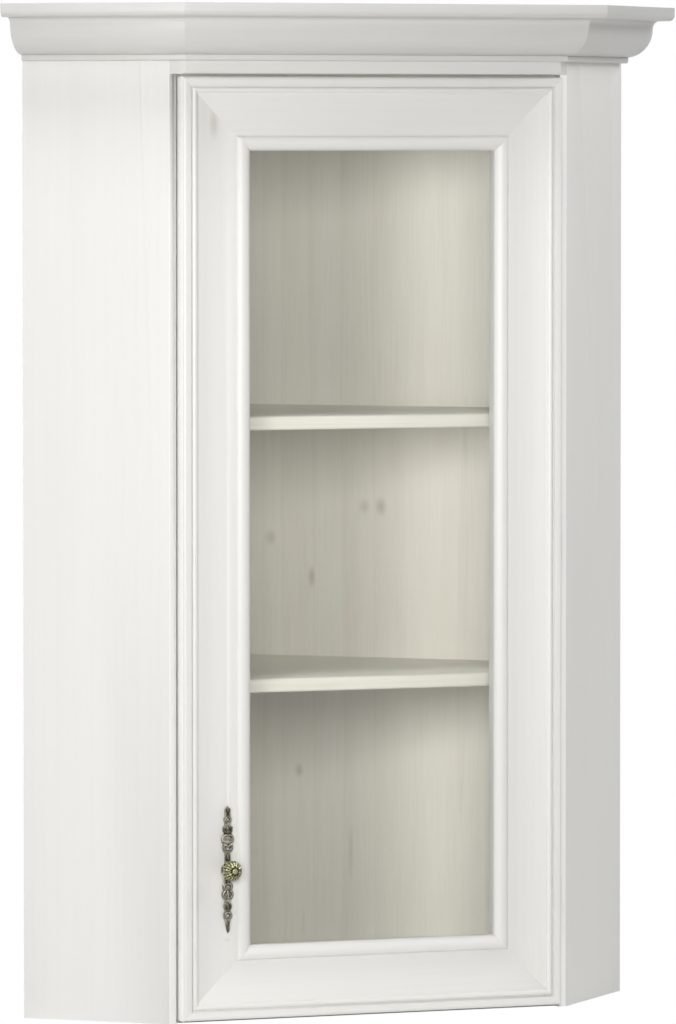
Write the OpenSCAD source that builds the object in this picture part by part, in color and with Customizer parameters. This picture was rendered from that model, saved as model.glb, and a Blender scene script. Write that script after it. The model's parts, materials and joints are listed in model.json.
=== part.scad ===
// Diagonal corner wall cupboard in white-glazed pine, with one glazed door under a mitred cornice.
// X runs to the right, Y towards the corner of the room and Z up.
// The origin is the centre of the overall box, at the underside of the carcass.

/* [Carcass] */
// Overall height, cornice included
cabinet_h = 1200; // [1000:1:1400]
// Width of the diagonal front, from arris to arris
front_w = 511; // [480:1:600]
// Depth of a side panel, from its front arris to the wall
side_d = 189; // [175:1:260]
// Thickness of the side, top and bottom boards
board_t = 18; // [17:0.5:20]
// Thickness of the back boards
back_t = 12; // [11:0.5:15]
// How far a back board laps behind a side panel
back_lap = 9; // [6:0.5:10]
// Rounding of a side panel's front arris
side_arris_r = 4; // [2:0.5:6]
// Distance of the door's upper edge below the cornice
header_show = 18.5; // [14:0.5:30]
// How far the header and the closed door stand out from the side panels' front edges
front_out = 14.5; // [13:0.5:16]
// Height of the stop strip behind the header
stop_h = 40; // [32:1:48]
// Thickness of the stop strip
stop_t = 6; // [5:0.5:9]
// How far the stop strip reaches down behind the door
stop_lap = 15; // [12:0.5:20]
// Height of the hanging rails
rail_h = 62; // [50:1:75]
// Thickness of the hanging rails
rail_t = 18; // [15:0.5:22]

/* [Shelves] */
// Thickness of a shelf
shelf_t = 16; // [14:0.5:20]
// Height of the lower shelf's top face
shelf_low_z = 402; // [300:1:480]
// Height of the upper shelf's top face
shelf_high_z = 713; // [620:1:800]
// How far the shelves stand back from the side panels' front edges
shelf_setback = 33; // [27:1:50]
// Gap between a shelf's edges and the boards around it
shelf_gap = 1; // [0.5:0.1:2]
// Rounding of a shelf's front edge
shelf_nose_r = 3; // [1:0.5:5]
// Radius of a shelf pin
pin_r = 2.5; // [2:0.25:3]
// How deep a shelf pin goes into a board
pin_depth = 8; // [6:0.5:9]
// How far a shelf pin stands out
pin_out = 9; // [7:0.5:12]

/* [Cornice] */
// Height of the cornice
cornice_h = 67; // [64:0.5:74]
// How far the cornice stands out from the header and the side panels
cornice_p = 70; // [66:0.5:80]
// How far the cornice's ends stop short of the walls
cornice_short = 3.5; // [0:0.5:6]
// Thickness of the cornice's top member
crown_t = 16; // [14:0.5:18]
// Rounding of the top member's lower arris
crown_r = 7; // [4:0.5:9]
// Radius of the hollow under the top member
scotia_r = 9; // [7:0.5:10]
// Radius of the large ovolo
ovolo_r = 35; // [33:0.5:36]
// How far the bead under the ovolo stands out
bead_p = 10.5; // [9:0.5:12]

/* [Door] */
// Distance of the door's edges from the front arrises of the side panels
door_reveal = 11.5; // [11:0.5:13]
// Gap between the door's edges and the side panels
door_side_gap = 2.3; // [2.2:0.1:3]
// Gap between the door and the header
door_top_gap = 3; // [2:0.25:4]
// Height of the door's lower edge above the carcass underside
door_lift = 4; // [3:0.5:10]
// Gap between the closed door and the boards behind it
door_gap = 2.5; // [2:0.1:3]
// Thickness of the door frame
door_t = 24; // [23:0.5:25.5]
// Rounding of the frame's outer arris
door_arris_r = 4; // [2:0.5:5]
// Width of the flat band outside the frame's bead
band_w = 10; // [8:0.5:12]
// Radius of the frame's outer bead
bead_r = 3.4; // [2.5:0.1:4]
// Gap between the band and the bead
bead_quirk = 2; // [1:0.25:3]
// Width of the hollowed field of the frame
field_w = 51; // [48:0.5:60]
// How far the field's edges lie below the front of the frame
field_drop = 4.5; // [4:0.25:5.5]
// How much deeper the middle of the field is hollowed
field_hollow = 3; // [2:0.25:3.5]
// Width of the rounded sight moulding around the glass
sight_w = 17; // [16:0.25:18]
// Radius of the sight moulding
sight_r = 10.5; // [10:0.25:11]
// How far the crest of the sight moulding lies below the front of the frame
sight_drop = 0.5; // [0.5:0.25:1.5]
// Thickness of the glass
glass_t = 3; // [3:0.25:4]
// Thickness of the glazing beads
glazing_t = 3.5; // [3:0.25:5]
// Width of the glazing beads
glazing_w = 7.5; // [6:0.5:9]
// Width of the glazing rebate
rebate_w = 8.5; // [7:0.5:10]
// Clearance around the glass in its rebate
glass_gap = 1; // [0.5:0.25:2]
// Thickness of the tongues in the mitres
spline_t = 4; // [3:0.25:4]
// Length of the tongues along the mitre
spline_l = 78; // [60:1:85]
// Width of the tongues across the mitre
spline_w = 22; // [16:1:28]
// Radius of the door's rest buttons
button_r = 5; // [4:0.5:6]
// Distance of the rest buttons from the door's left edge
button_inset = 60; // [40:1:120]
// Distance of the rest buttons' middles from the door's lower and upper edges
button_up = 6.5; // [6:0.25:7]

/* [Hinges] */
// Length of a hinge
hinge_l = 64; // [50:1:80]
// Distance of the end hinges' middles from the door's ends
hinge_inset = 120; // [90:1:200]
// Radius of a hinge knuckle
knuckle_r = 2.6; // [2.4:0.1:2.8]
// Radius of a hinge pin
hinge_pin_r = 1.3; // [1:0.1:1.4]
// Running clearance between the pin and the door leaf's knuckle
hinge_clear = 0.05; // [0.03:0.01:0.1]
// Gap between a knuckle and the side panel's front edge
knuckle_off = 0.5; // [0.4:0.1:1]
// Thickness of the hinge leaves
leaf_t = 1.5; // [1.4:0.1:1.8]
// Distance of the leaves' back edges from the hinge axis
leaf_w = 11; // [10.5:0.1:11.5]

/* [Handle] */
// Distance of the handle from the door's edge
handle_u = 57; // [48:1:60]
// Height of the knob above the door's lower edge
handle_z = 177; // [150:1:250]
// Length of the back plate
plate_l = 150; // [140:1:170]
// Thickness of the back plate
plate_t = 2.4; // [2:0.2:3]
// Radius of the knob's head
knob_r = 12; // [10:0.5:14]
// How far the knob stands out from the back plate
knob_l = 23; // [20:0.5:28]
// Radius of the knob's screw
knob_screw_r = 2; // [1.5:0.25:2.5]

/* [Fixings] */
// Radius of a dowel
dowel_r = 4; // [3:0.5:4.5]
// Length of a dowel
dowel_l = 30; // [26:1:36]
// How deep the horizontal dowels go into a side panel
dowel_in = 12; // [10:0.5:13]
// How deep the upright dowels go into the top panel
dowel_up = 10; // [8:0.5:12]
// Distance of the first and last dowels from a side panel's ends
dowel_inset = 40; // [30:1:50]
// Distance of the header's dowels from its upper and lower edges
header_dowel_inset = 20; // [15:1:30]
// Distance of the first and last back screws from the boards' ends
back_screw_inset = 75; // [50:1:120]
// Number of screws along each edge of the back
back_screw_count = 5; // [3:1:8]
// Height of the cornice screws above the cornice's foot
cornice_screw_up = 22; // [18:0.5:26]
// Radius of a wood screw's shank
screw_r = 1.75; // [1.5:0.05:2]
// Radius of a wood screw's head
screw_head_r = 3; // [2.8:0.1:3.4]
// Length of the screws in the door leaves and in the catch
hinge_screw_l = 16; // [12:1:17]
// Length of the screws in the leaves on the side panel
post_screw_l = 9.5; // [8:0.5:10.5]
// Length of the screws through the back boards
back_screw_l = 30; // [24:1:40]
// Length of the screws into the cornice
cornice_screw_l = 26; // [24:1:30]
// Clearance around a screw or dowel in its hole
hole_gap = 0.05; // [0.05:0.01:0.2]
// Length of the magnetic catch
catch_l = 46; // [40:1:56]
// Depth of the magnetic catch
catch_d = 15; // [13:1:20]
// Height of the magnetic catch
catch_h = 13; // [11:0.5:16]
// Distance of the catch's middle from the door's edge
catch_inset = 84; // [60:1:140]
// Thickness of the catch's strike plate
strike_t = 1.2; // [1:0.1:1.5]
// Gap between the closed strike plate and the catch
strike_gap = 0.3; // [0.2:0.1:0.5]

/* [Hidden] */
$fn = 96;

diagonal = sqrt(2);
// A cut runs this far past the face that it opens
over = 1;

// Plan of the carcass, with the side panels' front edges at Y = 0
half_w = front_w / 2;
side_reach = side_d / diagonal;
wall_x = half_w + side_reach;
apex_y = side_reach + wall_x;
front_y = (front_out + cornice_p - apex_y) / 2;

box_top = cabinet_h - board_t;
cornice_z = cabinet_h - cornice_h;
rail_z = box_top - rail_h;

door_w = front_w - 2 * door_reveal;
door_h = cornice_z - header_show - door_lift;
header_z = door_lift + door_h + door_top_gap;
// The plane that the closed door stops against, and the inner side of a side panel's front edge
seat_y = door_t - front_out + door_gap;
post_x = door_w / 2 + door_side_gap;

// The frame's section, with u measured in from the outer edge
bead_u = band_w + bead_quirk + bead_r;
field_u = bead_u + bead_r;
sight_u = field_u + field_w;
frame_w = sight_u + sight_w;
rebate_u = frame_w - rebate_w;
rebate_h = glass_t + glazing_t;
field_h = door_t - field_drop;
sight_mid = sight_u + sight_w - sight_r + 1;
sight_z = door_t - sight_drop - sight_r;
hollow_mid = field_u + field_w / 2;
hollow_chord = field_w - 2;
hollow_r = (pow(hollow_chord / 2, 2) + pow(field_hollow, 2)) / (2 * field_hollow);
spline_z = rebate_h + 0.5;

// The hinge axis, in the gap beside the door and in front of the side panel's edge
hinge_x = (door_w / 2 + post_x) / 2;
hinge_y = -knuckle_off - knuckle_r;
leaf_x = door_side_gap / 2;
web_l = knuckle_r + 0.2;
notch_r = knuckle_r + 0.5;
pin_cap_t = 1;
pin_cap_r = 2.2;
notch_l = hinge_l + 2 * pin_cap_t + 2;
leaf_fit = 0.2;
knuckle_gap = 0.3;
hinge_zs = [
    door_lift + hinge_inset,
    door_lift + door_h / 2,
    door_lift + door_h - hinge_inset
];
leaf_screw_y = (web_l + leaf_w) / 2;
leaf_screw_zs = [-22, 0, 22];

plate_half_w = 8;
// The plate's lobes, each with its height, its radius and the radius of its piercing
plate_lobes = [
    [0.94, 0.45, 0], [0.79, 0.62, 0.24], [0.64, 0.78, 0], [0.48, 1, 0], [0.35, 0.85, 0.28],
    [0, 1, 0], [-0.26, 0.82, 0], [-0.39, 0.92, 0.36], [-0.57, 0.68, 0], [-0.72, 0.72, 0.28]
];
plate_h = field_surface(handle_u + plate_half_w);

dowel_alongs = [dowel_inset, side_d / 2, side_d - dowel_inset];
cap_dowel_alongs = [dowel_inset, side_d - dowel_inset];
pin_alongs = [dowel_inset + pin_out, side_d - dowel_inset];
back_pin_along = (wall_x + side_reach) / 2 * 1.1;
back_screw_zs = [for (i = [0:back_screw_count - 1])
    back_screw_inset + i * (box_top - 2 * back_screw_inset) / (back_screw_count - 1)];
cornice_screw_z = cornice_z + cornice_screw_up;
catch_x = door_w / 2 - catch_inset;

pine = [0.92, 0.91, 0.88];
pine_shade = [0.80, 0.79, 0.75];
antique_brass = [0.36, 0.32, 0.20];
steel = [0.62, 0.60, 0.55];

// Height of the hollowed field above the back of the frame
function field_surface(u) =
    field_h - field_hollow + hollow_r - sqrt(pow(hollow_r, 2) - pow(u - hollow_mid, 2));

// Right-hand points of the plan: s is measured in from a side panel's outer face, b from the wall
function front_point(s) = [half_w - s * diagonal, 0];
function inner_point() = [post_x, post_x - half_w + board_t * diagonal];
function wall_point(s, b) = let (e = half_w - s * diagonal, a = apex_y - b * diagonal)
    [(e + a) / 2, (a - e) / 2];
function apex_point(right_b, left_b) =
    [(left_b - right_b) / diagonal, apex_y - (left_b + right_b) / diagonal];
function across(p) = [-p[0], p[1]];
function side_point(along, s) = [half_w + (along - s) / diagonal, (along + s) / diagonal];
function wall_side_point(along, b) =
    [wall_x - (along + b) / diagonal, side_reach + (along - b) / diagonal];

// The five-sided plan, with its edges moved in from the front, the sides and the walls
function plan(front, side, back) = let (e = half_w - side * diagonal, a = apex_y - back * diagonal)
    [[-e - front, front], [e + front, front], [(e + a) / 2, (a - e) / 2], [0, a],
     [-(e + a) / 2, (a - e) / 2]];

// The plan inside the side and back boards, from the plane that the door stops against
function inner_plan() = [[-post_x, seat_y], [post_x, seat_y], inner_point(), wall_point(board_t, back_t),
    apex_point(back_t, back_t), across(wall_point(board_t, back_t)), across(inner_point())];

module placed() {
    translate([0, front_y, 0]) children();
}

module slab(points, z, h) {
    translate([0, 0, z]) linear_extrude(h) polygon(points);
}

module mirrored_pair() {
    children();
    mirror([1, 0, 0]) children();
}

// A round bar that starts at a point of the right side panel and runs square to its face
module side_bar(along, s, z, r, l, turn = 135) {
    translate(concat(side_point(along, s), z)) rotate([0, 90, turn]) cylinder(h = l, r = r);
}

// A round bar that starts at a point of the right wall and runs square to it, into the carcass
module wall_bar(along, b, z, r, l, turn = 225) {
    translate(concat(wall_side_point(along, b), z)) rotate([0, 90, turn]) cylinder(h = l, r = r);
}

// A countersunk screw whose head lies at z = 0 and whose point looks along -Z, or with a gap its hole
module screw(l, gap = 0) {
    head_l = screw_head_r - screw_r;
    translate([0, 0, -l - gap]) cylinder(h = l + gap, r = screw_r + gap);
    translate([0, 0, -head_l]) cylinder(h = head_l, r1 = screw_r + gap, r2 = screw_head_r + gap);
    if (gap > 0)
        cylinder(h = over, r = screw_head_r + gap);
}

module side_bottom_dowels(gap = 0) {
    for (along = dowel_alongs)
        side_bar(along, board_t - dowel_in - gap, board_t / 2, dowel_r + gap, dowel_l + 2 * gap);
}

module header_dowels(gap = 0) {
    for (z = [header_z + header_dowel_inset, box_top - header_dowel_inset])
        translate([post_x + dowel_in / diagonal + gap, seat_y / 2, z]) rotate([0, -90, 0])
            cylinder(h = dowel_l + 2 * gap, r = dowel_r * 0.75 + gap);
}

module cap_dowels(gap = 0) {
    for (along = cap_dowel_alongs)
        translate(concat(side_point(along, board_t / 2), box_top - dowel_l + dowel_up - gap))
            cylinder(h = dowel_l + 2 * gap, r = dowel_r + gap);
}

module side_pins(gap = 0) {
    for (top = [shelf_low_z, shelf_high_z], along = pin_alongs)
        side_bar(along, board_t - pin_depth - gap, top - shelf_t - pin_r - 0.1, pin_r + gap,
            pin_depth + pin_out + gap);
}

module wall_pins(gap = 0) {
    for (top = [shelf_low_z, shelf_high_z])
        wall_bar(back_pin_along, back_t - pin_depth - gap, top - shelf_t - pin_r - 0.1, pin_r + gap,
            pin_depth + pin_out + gap);
}

// A screw through the back board, into the edge of the side panel behind its lap
module back_edge_screws(gap = 0) {
    for (z = back_screw_zs)
        translate(concat(wall_side_point((back_lap + board_t) / 2, 0), z))
            rotate([0, -90, 225]) screw(back_screw_l, gap = gap);
}

module cornice_side_screws(gap = 0) {
    for (along = cap_dowel_alongs)
        translate(concat(side_point(along, board_t), cornice_screw_z))
            rotate([0, 90, 135]) screw(cornice_screw_l, gap = gap);
}

module cornice_front_screws(gap = 0) {
    for (x = [-door_w / 3, 0, door_w / 3])
        translate([x, seat_y, cornice_screw_z]) rotate([-90, 0, 0])
            screw(seat_y + front_out + cornice_screw_l - board_t, gap = gap);
}

module side_outline() {
    corner = side_arris_r * tan(22.5);
    polygon([
        front_point(0) - [corner, 0], front_point(0) + [corner, corner] / diagonal,
        wall_point(0, 0), wall_point(back_lap, 0), wall_point(back_lap, back_t),
        wall_point(board_t, back_t), inner_point(), [post_x, 0]
    ]);
    translate(front_point(0) + [-corner, side_arris_r]) circle(r = side_arris_r);
}

module side_board() {
    difference() {
        linear_extrude(box_top) side_outline();
        side_bottom_dowels(hole_gap);
        header_dowels(hole_gap);
        cap_dowels(hole_gap);
        side_pins(hole_gap);
        back_edge_screws(hole_gap);
        cornice_side_screws(hole_gap);
    }
}

module side_panel_left() {
    color(pine) placed() mirror([1, 0, 0]) side_board();
}

module side_panel_right() {
    color(pine) placed() difference() {
        side_board();
        hinge_post_recesses();
    }
}

module bottom_panel() {
    color(pine) placed() difference() {
        slab(inner_plan(), 0, board_t);
        mirrored_pair() side_bottom_dowels(hole_gap);
        catch_screw_set(hole_gap);
    }
}

module top_panel() {
    color(pine) placed() difference() {
        slab(plan(-front_out, 0, 0), box_top, board_t);
        mirrored_pair() cap_dowels(hole_gap);
    }
}

// The header lies on the side panels' front edges and fills the space between them
module header_rail() {
    end = half_w - front_out;
    color(pine) placed() difference() {
        slab([[-end, -front_out], [end, -front_out], [half_w, 0], [post_x, 0], [post_x, seat_y],
            [-post_x, seat_y], [-post_x, 0], [-half_w, 0]], header_z, box_top - header_z);
        mirrored_pair() header_dowels(hole_gap);
        cornice_front_screws(hole_gap);
    }
}

module stop_strip() {
    end = inner_point()[1] - seat_y;
    color(pine_shade) placed() slab([[-post_x, seat_y], [post_x, seat_y], inner_point(),
        [post_x + stop_t - end, seat_y + stop_t], [-post_x - stop_t + end, seat_y + stop_t],
        across(inner_point())], header_z - door_top_gap - stop_lap, stop_h);
}

module back_panel_left() {
    color(pine_shade) placed() difference() {
        slab([across(wall_point(back_lap, 0)), apex_point(0, 0), apex_point(0, back_t),
            across(wall_point(back_lap, back_t))], 0, box_top);
        mirror([1, 0, 0]) back_edge_screws(hole_gap);
        mirror([1, 0, 0]) wall_pins(hole_gap);
    }
}

module back_panel_right() {
    color(pine_shade) placed() difference() {
        slab([wall_point(back_lap, 0), apex_point(0, back_t), apex_point(back_t, back_t),
            wall_point(back_lap, back_t)], 0, box_top);
        back_edge_screws(hole_gap);
        wall_pins(hole_gap);
    }
}

module hanging_rail_left() {
    inner_b = back_t + rail_t;
    color(pine_shade) placed() slab([across(wall_point(board_t, back_t)), apex_point(back_t, back_t),
        apex_point(back_t, inner_b), across(wall_point(board_t, inner_b))], rail_z, rail_h);
}

module hanging_rail_right() {
    inner_b = back_t + rail_t;
    color(pine_shade) placed() slab([wall_point(board_t, back_t), apex_point(back_t, inner_b),
        apex_point(inner_b, inner_b), wall_point(board_t, inner_b)], rail_z, rail_h);
}

// The section of a shelf from front to back, with its front edge rounded above and below
module shelf_section() {
    depth = apex_y - shelf_setback;
    translate([shelf_nose_r, 0]) square([depth - shelf_nose_r, shelf_t]);
    translate([0, shelf_nose_r]) square([shelf_nose_r, shelf_t - 2 * shelf_nose_r]);
    for (z = [shelf_nose_r, shelf_t - shelf_nose_r])
        translate([shelf_nose_r, z]) circle(r = shelf_nose_r);
}

module shelf(top_z) {
    color(pine) placed() intersection() {
        slab(plan(shelf_setback, board_t + shelf_gap, back_t + shelf_gap), top_z - shelf_t, shelf_t);
        translate([-wall_x, shelf_setback, top_z - shelf_t])
            rotate([90, 0, 90]) linear_extrude(2 * wall_x) shelf_section();
    }
}

module shelf_lower() {
    shelf(shelf_low_z);
}

module shelf_upper() {
    shelf(shelf_high_z);
}

module shelf_pins() {
    color(steel) placed() mirrored_pair() {
        side_pins();
        wall_pins();
    }
}

module carcass_dowels() {
    color("tan") placed() mirrored_pair() {
        side_bottom_dowels();
        header_dowels();
        cap_dowels();
    }
}

module back_screws() {
    color(steel) placed() mirrored_pair() back_edge_screws();
}

module cornice_screws() {
    color(steel) placed() {
        mirrored_pair() cornice_side_screws();
        cornice_front_screws();
    }
}

// The cornice's section: x stands out from the panel and y runs up from the cornice's foot
module cornice_section() {
    crown_y = cornice_h - crown_t;
    ovolo_x = cornice_p * 0.1;
    ovolo_y = crown_y - scotia_r;
    foot_h = ovolo_y - ovolo_r;
    scotia_x = ovolo_x + ovolo_r + scotia_r;
    translate([0, crown_y + crown_r]) square([cornice_p, crown_t - crown_r]);
    translate([0, crown_y]) square([cornice_p - crown_r, crown_t]);
    translate([cornice_p - crown_r, crown_y + crown_r]) circle(r = crown_r);
    difference() {
        translate([0, ovolo_y]) square([scotia_x, scotia_r + over / 2]);
        translate([scotia_x, ovolo_y]) circle(r = scotia_r);
    }
    intersection() {
        translate([ovolo_x, ovolo_y]) circle(r = ovolo_r);
        translate([0, foot_h]) square([cornice_p, ovolo_r]);
    }
    translate([0, foot_h]) square([ovolo_x, ovolo_r]);
    translate([0, foot_h / 2]) square([bead_p, foot_h / 2]);
    translate([0, 0]) square([bead_p - foot_h / 2, foot_h]);
    translate([bead_p - foot_h / 2, foot_h / 2]) circle(r = foot_h / 2);
}

// One run of the cornice along X, centred, with its back at Y = 0
module cornice_run(length) {
    translate([length / 2, 0, cornice_z]) rotate([90, 0, -90]) linear_extrude(length) cornice_section();
}

// The corner where the cornice turns, at its foot, and where its top member turns
function cornice_corner() = [half_w - front_out, -front_out];
function crown_corner() = cornice_corner() + [cornice_p * tan(22.5), -cornice_p];

module cornice_front() {
    color(pine) placed() difference() {
        intersection() {
            translate([0, -front_out, 0]) cornice_run(front_w + 4 * cornice_p);
            slab([across(cornice_corner()), cornice_corner(), crown_corner(), across(crown_corner())],
                cornice_z, cornice_h);
        }
        cornice_front_screws(hole_gap);
    }
}

module cornice_side() {
    end = side_point(side_d - cornice_short, 0);
    intersection() {
        translate([half_w, 0, 0]) rotate([0, 0, 45]) translate([side_d / 2, 0, 0])
            cornice_run(side_d + 4 * cornice_p);
        slab([cornice_corner(), crown_corner(), end + [cornice_p, -cornice_p] / diagonal, end],
            cornice_z, cornice_h);
    }
}

module cornice_right() {
    color(pine) placed() difference() {
        cornice_side();
        cornice_side_screws(hole_gap);
    }
}

module cornice_left() {
    color(pine) placed() mirror([1, 0, 0]) difference() {
        cornice_side();
        cornice_side_screws(hole_gap);
    }
}

// The door lies in its own plane, x across and y up from its lower left corner, z from back to front
module door_plane() {
    placed() translate([-door_w / 2, seat_y - door_gap, door_lift]) rotate([90, 0, 0]) children();
}

module outer_band() {
    square([band_w, door_t - door_arris_r]);
    translate([door_arris_r, 0]) square([band_w - door_arris_r, door_t]);
    translate([door_arris_r, door_t - door_arris_r]) circle(r = door_arris_r);
}

module frame_section() {
    outer_band();
    square([field_u, door_t - bead_r]);
    translate([bead_u, door_t - bead_r]) circle(r = bead_r);
    difference() {
        square([sight_u, field_h]);
        translate([hollow_mid, field_h - field_hollow + hollow_r]) circle(r = hollow_r);
    }
    intersection() {
        translate([sight_mid, sight_z]) circle(r = sight_r);
        translate([sight_u, sight_z]) square([sight_w, sight_r]);
    }
    translate([sight_u, rebate_h]) square([sight_w, sight_z - rebate_h]);
    square([rebate_u, rebate_h]);
}

// A mitred length of the frame along x, with its outer edge at y = 0
module frame_bar(length) {
    intersection() {
        rotate([90, 0, 90]) linear_extrude(length) frame_section();
        linear_extrude(door_t) polygon([[0, 0], [length, 0], [length - frame_w, frame_w],
            [frame_w, frame_w]]);
    }
}

// Carries a bar that is drawn along x to one side of the door: 0 bottom, 1 right, 2 top, 3 left
module on_side(side) {
    corners = [[0, 0], [door_w, 0], [door_w, door_h], [0, door_h]];
    translate(corners[side]) rotate([0, 0, 90 * side]) children();
}

module tongue_set(gap = 0) {
    inset = 14;
    for (side = [0:3])
        on_side(side) translate([inset, inset, spline_z - gap]) rotate([0, 0, 45])
            translate([-gap, -spline_w / 2 - gap, 0])
                cube([spline_l + 2 * gap, spline_w + 2 * gap, spline_t + 2 * gap]);
}

module door_rail_bottom() {
    color(pine) door_plane() difference() {
        frame_bar(door_w);
        tongue_set(hole_gap);
        strike_hole(hole_gap);
    }
}

module door_rail_top() {
    color(pine) door_plane() difference() {
        on_side(2) frame_bar(door_w);
        tongue_set(hole_gap);
    }
}

module door_stile_left() {
    color(pine) door_plane() difference() {
        on_side(3) frame_bar(door_h);
        tongue_set(hole_gap);
        translate([handle_u, handle_z, -over]) cylinder(h = door_t, r = knob_screw_r + hole_gap);
        translate([handle_u, handle_z, -over])
            cylinder(h = over + knob_screw_r + hole_gap, r = 2 * knob_screw_r + 2 * hole_gap);
    }
}

module door_stile_right() {
    color(pine) difference() {
        door_plane() difference() {
            on_side(1) frame_bar(door_h);
            tongue_set(hole_gap);
        }
        placed() hinge_door_recesses();
    }
}

module mitre_tongues() {
    color("tan") door_plane() tongue_set();
}

module glass_pane() {
    edge = rebate_u + glass_gap;
    color([0.8, 0.9, 0.9, 0.35]) door_plane() translate([edge, edge, glazing_t])
        cube([door_w - 2 * edge, door_h - 2 * edge, glass_t]);
}

// A mitred strip that holds the glass in its rebate
module glazing_bar(length) {
    run = length - 2 * rebate_u;
    translate([rebate_u, rebate_u, 0]) linear_extrude(glazing_t)
        polygon([[0, 0], [run, 0], [run - glazing_w, glazing_w], [glazing_w, glazing_w]]);
}

module glazing_bead_bottom() {
    color(pine) door_plane() on_side(0) glazing_bar(door_w);
}

module glazing_bead_right() {
    color(pine) door_plane() on_side(1) glazing_bar(door_h);
}

module glazing_bead_top() {
    color(pine) door_plane() on_side(2) glazing_bar(door_w);
}

module glazing_bead_left() {
    color(pine) door_plane() on_side(3) glazing_bar(door_h);
}

module rest_buttons() {
    thick = door_gap - strike_gap;
    color("white") door_plane() for (y = [button_up, door_h - button_up])
        translate([button_inset, y, -thick]) cylinder(h = thick, r = button_r);
}

// The back plate's outline about the knob's axis: a tapered spine with a row of round lobes
module plate_outline() {
    end = plate_l / 2;
    spine_w = 3.4;
    difference() {
        union() {
            polygon([[-spine_w, -end * 0.8], [0, -end], [spine_w, -end * 0.8],
                [spine_w, end * 0.95], [-spine_w, end * 0.95]]);
            for (lobe = plate_lobes)
                translate([0, lobe[0] * end]) circle(r = lobe[1] * plate_half_w);
        }
        for (lobe = plate_lobes)
            if (lobe[2] > 0)
                translate([0, lobe[0] * end]) circle(r = lobe[2] * plate_half_w);
        circle(r = knob_screw_r + hole_gap);
    }
}

module at_handle() {
    door_plane() translate([handle_u, handle_z, plate_h]) children();
}

module handle_plate() {
    color(antique_brass) at_handle() linear_extrude(plate_t) plate_outline();
}

module knob() {
    foot_r = knob_r * 0.52;
    neck_r = knob_r * 0.36;
    head_h = knob_l * 0.62;
    color(antique_brass) at_handle() translate([0, 0, plate_t]) difference() {
        union() {
            cylinder(h = 2.5, r = foot_r);
            cylinder(h = knob_l - head_h + 1, r = neck_r);
            translate([0, 0, knob_l - head_h]) intersection() {
                translate([0, 0, head_h - knob_r * 1.05]) sphere(r = knob_r * 1.05);
                cylinder(h = head_h, r = knob_r);
            }
        }
        translate([0, 0, -over]) cylinder(h = knob_l * 0.55 + over, r = knob_screw_r + hole_gap);
    }
}

module knob_screw() {
    tip = plate_h + plate_t + knob_l * 0.5;
    color(steel) door_plane() translate([handle_u, handle_z, 0]) {
        cylinder(h = tip, r = knob_screw_r);
        cylinder(h = knob_screw_r, r = 2 * knob_screw_r);
    }
}

// Everything of a hinge is drawn about its axis, at the hinge's mid height
module at_hinge(z) {
    translate([hinge_x, hinge_y, z]) children();
}

module hinge_post_recesses() {
    for (z = hinge_zs) {
        at_hinge(z) translate([leaf_x - over, -hinge_y - over, -hinge_l / 2 - leaf_fit])
            cube([leaf_t + leaf_fit + over, leaf_w + hinge_y + leaf_fit + over, hinge_l + 2 * leaf_fit]);
        post_screw_set(z, hole_gap);
    }
}

module hinge_door_recesses() {
    for (z = hinge_zs) {
        at_hinge(z) translate([-notch_r, -notch_r, -notch_l / 2])
            cube([notch_r + over, 2 * notch_r, notch_l]);
        at_hinge(z) translate([-leaf_x - leaf_t - leaf_fit, 0, -hinge_l / 2 - leaf_fit])
            cube([leaf_t + leaf_fit + over, leaf_w + leaf_fit, hinge_l + 2 * leaf_fit]);
        door_screw_set(z, hole_gap);
    }
}

module post_screw_set(z, gap = 0) {
    for (up = leaf_screw_zs)
        at_hinge(z) translate([leaf_x, leaf_screw_y, up]) rotate([0, -90, 0])
            screw(post_screw_l, gap = gap);
}

module door_screw_set(z, gap = 0) {
    for (up = leaf_screw_zs)
        at_hinge(z) translate([-leaf_x, leaf_screw_y, up]) rotate([0, 90, 0])
            screw(hinge_screw_l, gap = gap);
}

// A leaf in the YZ plane, with its face at x = leaf_x and clear of the other leaf's knuckle
module leaf_blade() {
    translate([leaf_x, web_l, -hinge_l / 2]) cube([leaf_t, leaf_w - web_l, hinge_l]);
}

// A knuckle and the web that joins it to its leaf
module knuckle(z, length, bore_r) {
    translate([0, 0, z]) difference() {
        union() {
            cylinder(h = length, r = knuckle_r);
            translate([leaf_x, 0, 0]) cube([leaf_t, web_l + leaf_t, length]);
        }
        translate([0, 0, -over]) cylinder(h = length + 2 * over, r = bore_r);
    }
}

module post_leaf(z) {
    knuckle_l = hinge_l / 3 - knuckle_gap / 2;
    color(steel) placed() difference() {
        at_hinge(z) {
            leaf_blade();
            knuckle(-hinge_l / 2, knuckle_l, hinge_pin_r + 0.02);
            knuckle(hinge_l / 6 + knuckle_gap / 2, knuckle_l, hinge_pin_r + 0.02);
        }
        post_screw_set(z, hole_gap);
    }
}

module door_leaf(z) {
    middle_l = hinge_l / 3 - knuckle_gap;
    color(steel) placed() difference() {
        at_hinge(z) mirror([1, 0, 0]) {
            leaf_blade();
            knuckle(-middle_l / 2, middle_l, hinge_pin_r + hinge_clear);
        }
        door_screw_set(z, hole_gap);
    }
}

module hinge_post_leaf_bottom() {
    post_leaf(hinge_zs[0]);
}

module hinge_post_leaf_middle() {
    post_leaf(hinge_zs[1]);
}

module hinge_post_leaf_top() {
    post_leaf(hinge_zs[2]);
}

module hinge_door_leaf_bottom() {
    door_leaf(hinge_zs[0]);
}

module hinge_door_leaf_middle() {
    door_leaf(hinge_zs[1]);
}

module hinge_door_leaf_top() {
    door_leaf(hinge_zs[2]);
}

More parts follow.
